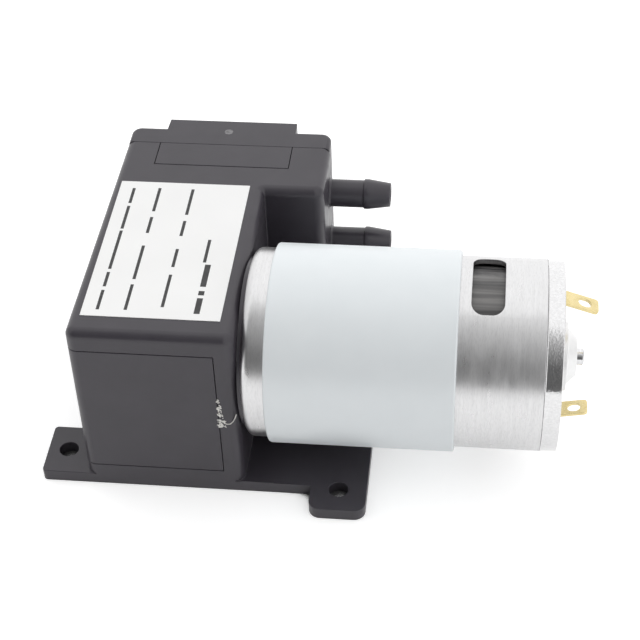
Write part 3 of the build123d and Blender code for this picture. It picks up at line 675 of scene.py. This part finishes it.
def floor():
    """A plain white floor, with painted shade in its colour and glow where hardly any sky reaches
    it, as in the foot holes.
    """
    bm = bmesh.new()
    bmesh.ops.create_circle(bm, cap_ends=True, segments=96, radius=FLOOR_RADIUS)
    bmesh.ops.translate(bm, verts=bm.verts, vec=(0.0, 0.0, -FLOOR_DROP))
    mesh = bpy.data.meshes.new("floor")
    bm.to_mesh(mesh)
    bm.free()
    material = bpy.data.materials.new("floor_white")
    material.use_nodes = True
    tree = material.node_tree
    tree.nodes.clear()
    out = tree.nodes.new("ShaderNodeOutputMaterial")
    diffuse = tree.nodes.new("ShaderNodeBsdfDiffuse")
    glow = tree.nodes.new("ShaderNodeEmission")
    # Painted shade: where the occlusion finds hardly any open sky, the floor's colour turns dark
    # grey and its glow goes out.
    open_sky = tree.nodes.new("ShaderNodeAmbientOcclusion")
    open_sky.inputs["Distance"].default_value = 0.006
    lit = tree.nodes.new("ShaderNodeMapRange")
    lit.inputs["From Min"].default_value = 0.38
    lit.inputs["From Max"].default_value = 0.5
    tree.links.new(open_sky.outputs["AO"], lit.inputs["Value"])
    strength = tree.nodes.new("ShaderNodeMath")
    strength.operation = "MULTIPLY"
    tree.links.new(seen_directly(tree, 0.45, 0.32), strength.inputs[0])
    tree.links.new(lit.outputs["Result"], strength.inputs[1])
    tree.links.new(strength.outputs[0], glow.inputs["Strength"])
    white = tree.nodes.new("ShaderNodeMix")
    white.data_type = "RGBA"
    tree.links.new(lit.outputs["Result"], white.inputs["Factor"])
    white.inputs["A"].default_value = (0.08, 0.08, 0.08, 1.0)
    white.inputs["B"].default_value = (0.9, 0.9, 0.9, 1.0)
    tree.links.new(white.outputs["Result"], diffuse.inputs["Color"])
    both = tree.nodes.new("ShaderNodeAddShader")
    tree.links.new(diffuse.outputs[0], both.inputs[0])
    tree.links.new(glow.outputs[0], both.inputs[1])
    tree.links.new(both.outputs[0], out.inputs["Surface"])
    mesh.materials.append(material)
    o = bpy.data.objects.new("floor", mesh)
    bpy.context.scene.collection.objects.link(o)


def seen_directly(tree, straight, mirrored):
    """Strength for camera rays, for glossy and transmission rays, and 0 for the others."""
    path = tree.nodes.new("ShaderNodeLightPath")
    total = None
    for name, share in (
        ("Is Camera Ray", straight), ("Is Glossy Ray", mirrored), ("Is Transmission Ray", mirrored),
    ):
        scaled = tree.nodes.new("ShaderNodeMath")
        scaled.operation = "MULTIPLY"
        scaled.inputs[1].default_value = share
        tree.links.new(path.outputs[name], scaled.inputs[0])
        if total is None:
            total = scaled.outputs[0]
            continue
        most = tree.nodes.new("ShaderNodeMath")
        most.operation = "MAXIMUM"
        tree.links.new(total, most.inputs[0])
        tree.links.new(scaled.outputs[0], most.inputs[1])
        total = most.outputs[0]
    return total


def tent(settings):
    """A white light tent all round, with a dim opening on the camera's side."""
    world = bpy.data.worlds.new("light_tent")
    bpy.context.scene.world = world
    world.use_nodes = True
    tree = world.node_tree
    tree.nodes.clear()
    link = tree.links.new

    def math_node(operation, first, second=None):
        node = tree.nodes.new("ShaderNodeMath")
        node.operation = operation
        for socket, value in zip(node.inputs, (first, second)):
            if value is None:
                continue
            if isinstance(value, (int, float)):
                socket.default_value = value
            else:
                link(value, socket)
        return node.outputs[0]

    def fade(value, start, end):
        node = tree.nodes.new("ShaderNodeMapRange")
        node.interpolation_type = "SMOOTHSTEP"
        node.inputs["From Min"].default_value = start
        node.inputs["From Max"].default_value = end
        link(value, node.inputs["Value"])
        return node.outputs["Result"]

    direction = tree.nodes.new("ShaderNodeTexCoord")
    parts = tree.nodes.new("ShaderNodeSeparateXYZ")
    link(direction.outputs["Generated"], parts.inputs[0])
    x, y, z = (parts.outputs[i] for i in range(3))
    turn = math_node("ARCTAN2", x, math_node("MULTIPLY", y, -1.0))
    right = math_node("SUBTRACT", 1.0, fade(turn, settings.right - 0.12, settings.right + 0.12))
    left = fade(turn, -settings.left - 0.12, -settings.left + 0.12)
    height = math_node("ARCSINE", z)
    below = fade(height, math.radians(-6.0), math.radians(-3.0))
    opening = math_node("MULTIPLY", math_node("MULTIPLY", right, left), below)
    rise = tree.nodes.new("ShaderNodeMapRange")
    link(height, rise.inputs["Value"])
    rise.inputs["From Min"].default_value = math.radians(28.0)
    rise.inputs["From Max"].default_value = math.radians(90.0)
    rise.inputs["To Min"].default_value = settings.opening
    rise.inputs["To Max"].default_value = settings.tent * 0.5
    mix = tree.nodes.new("ShaderNodeMix")
    mix.data_type = "FLOAT"
    link(opening, mix.inputs["Factor"])
    sides = math_node("MULTIPLY", math_node("MULTIPLY", x, x), settings.sides)
    link(math_node("MULTIPLY", math_node("SUBTRACT", 1.0, sides), settings.tent), mix.inputs["A"])
    link(rise.outputs["Result"], mix.inputs["B"])
    path = tree.nodes.new("ShaderNodeLightPath")
    direct = math_node("MAXIMUM", mix.outputs["Result"], path.outputs["Is Camera Ray"])
    background = tree.nodes.new("ShaderNodeBackground")
    background.inputs["Color"].default_value = (1.0, 1.0, 1.0, 1.0)
    link(direct, background.inputs["Strength"])
    out = tree.nodes.new("ShaderNodeOutputWorld")
    link(background.outputs[0], out.inputs["Surface"])


def heading(azimuth, elevation):
    """The direction at an azimuth right of the front and an elevation, in degrees."""
    turn, rise = math.radians(azimuth), math.radians(elevation)
    return Vector((
        math.sin(turn) * math.cos(rise), -math.cos(turn) * math.cos(rise), math.sin(rise),
    ))


def lamp(settings):
    """A round lamp in front and above."""
    data = bpy.data.lights.new("front_lamp", "AREA")
    data.shape = "DISK"
    data.size = LAMP_SIZE
    data.energy = settings.lamp
    o = bpy.data.objects.new("front_lamp", data)
    bpy.context.scene.collection.objects.link(o)
    away = heading(*LAMP_HEADING)
    o.location = Vector((0.02, 0.0, AXIS * MM)) + LAMP_AWAY * away
    o.rotation_euler = away.to_track_quat("Z", "Y").to_euler()


def camera():
    """A short telephoto view from the front, above and a little to the motor's side."""
    back, roll = heading(*CAMERA_HEADING), math.radians(CAMERA_ROLL)
    right = (-back).cross(Vector((0, 0, 1))).normalized()
    up = right.cross(-back)
    side = math.cos(roll) * right + math.sin(roll) * up
    top = math.cos(roll) * up - math.sin(roll) * right
    data = bpy.data.cameras.new("camera")
    data.lens = CAMERA_LENS
    data.sensor_width = 36.0
    data.clip_start = 0.01
    data.clip_end = 20.0
    data.dof.use_dof = False
    o = bpy.data.objects.new("camera", data)
    bpy.context.scene.collection.objects.link(o)
    o.matrix_world = Matrix.Translation(CAMERA_PLACE) @ Matrix(
        (side, top, back)
    ).transposed().to_4x4()
    bpy.context.scene.camera = o


# ---------------------------------------------------------------- add-on
OPERATORS = (
    PUMP_OT_shells,
    PUMP_OT_label,
    PUMP_OT_glue,
    PUMP_OT_motor,
    PUMP_OT_terminals,
    PUMP_OT_works,
    PUMP_OT_stage,
)
SETTINGS = {
    "pump_shells": PumpShellSettings,
    "pump_label": PumpLabelSettings,
    "pump_motor": PumpMotorSettings,
    "pump_stage": PumpStageSettings,
}


class PUMP_PT_panel(bpy.types.Panel):
    """Lists the pump's pieces"""

    bl_idname = "PUMP_PT_panel"
    bl_label = "Vacuum Pump"
    bl_space_type = "VIEW_3D"
    bl_region_type = "UI"
    bl_category = "Vacuum Pump"

    def draw(self, context):
        for operator in OPERATORS:
            self.layout.operator(operator.bl_idname)
        for name in SETTINGS:
            box = self.layout.box()
            group = getattr(context.scene, name)
            for key in group.bl_rna.properties.keys():
                if key not in ("rna_type", "name"):
                    box.prop(group, key)


def register():
    for name, group in SETTINGS.items():
        bpy.utils.register_class(group)
        setattr(bpy.types.Scene, name, bpy.props.PointerProperty(type=group))
    for operator in OPERATORS:
        bpy.utils.register_class(operator)
    bpy.utils.register_class(PUMP_PT_panel)


def unregister():
    bpy.utils.unregister_class(PUMP_PT_panel)
    for operator in reversed(OPERATORS):
        bpy.utils.unregister_class(operator)
    for name, group in reversed(SETTINGS.items()):
        delattr(bpy.types.Scene, name)
        bpy.utils.unregister_class(group)


def main():
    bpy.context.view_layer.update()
    register()
    bpy.ops.pump.works()
    bpy.ops.pump.shells()
    bpy.ops.pump.label()
    bpy.ops.pump.glue()
    bpy.ops.pump.motor()
    bpy.ops.pump.terminals()
    bpy.ops.pump.stage()
    bpy.context.view_layer.update()


if __name__ == "__main__":
    main()
